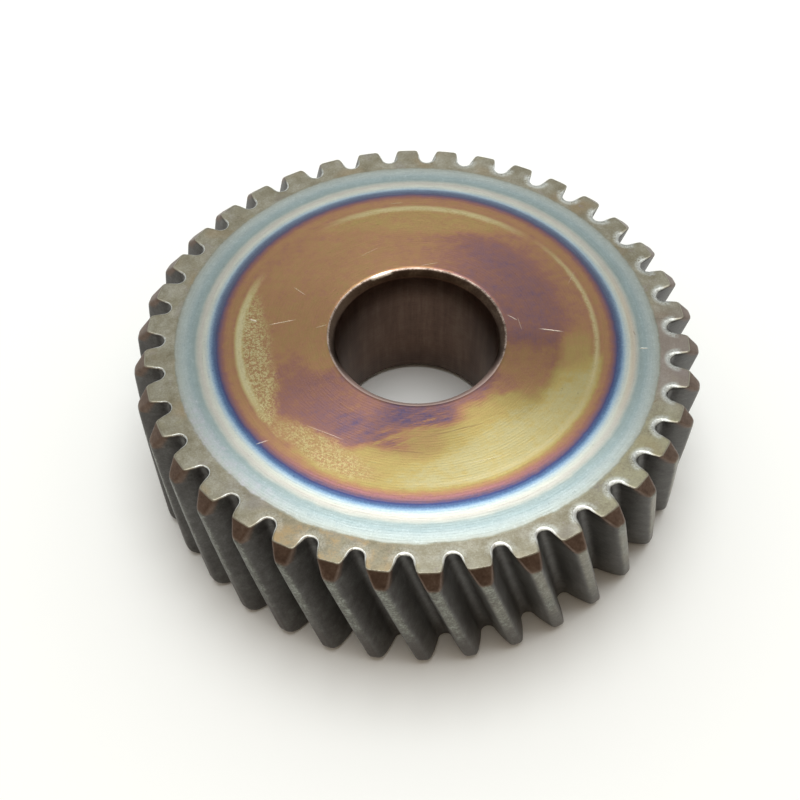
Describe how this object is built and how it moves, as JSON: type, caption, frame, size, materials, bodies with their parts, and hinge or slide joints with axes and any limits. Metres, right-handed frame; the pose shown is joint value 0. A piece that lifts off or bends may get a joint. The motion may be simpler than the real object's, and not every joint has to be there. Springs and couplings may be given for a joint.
{
  "type": "helical gear",
  "caption": "Flat helical gear with a plain chamfered bore, left-hand teeth and chamfered tooth ends, in hardened steel with rings of heat tint.",
  "frame": {"origin": "centre of the bore at the lower end face, on which the gear rests", "axes": "+Z along the bore, from the plain lower end face to the end face with the larger tooth-tip chamfer; +X through the middle of a tooth space at the lower end face"},
  "size_m": [0.0414, 0.0414, 0.0116],
  "materials": {
    "hardened_steel": "satin turned end faces with heat tint rings, dark oxide on the tooth flanks"
  },
  "bodies": {
    "root": {"helical_gear": "hardened_steel"}
  },
  "joints": []
}
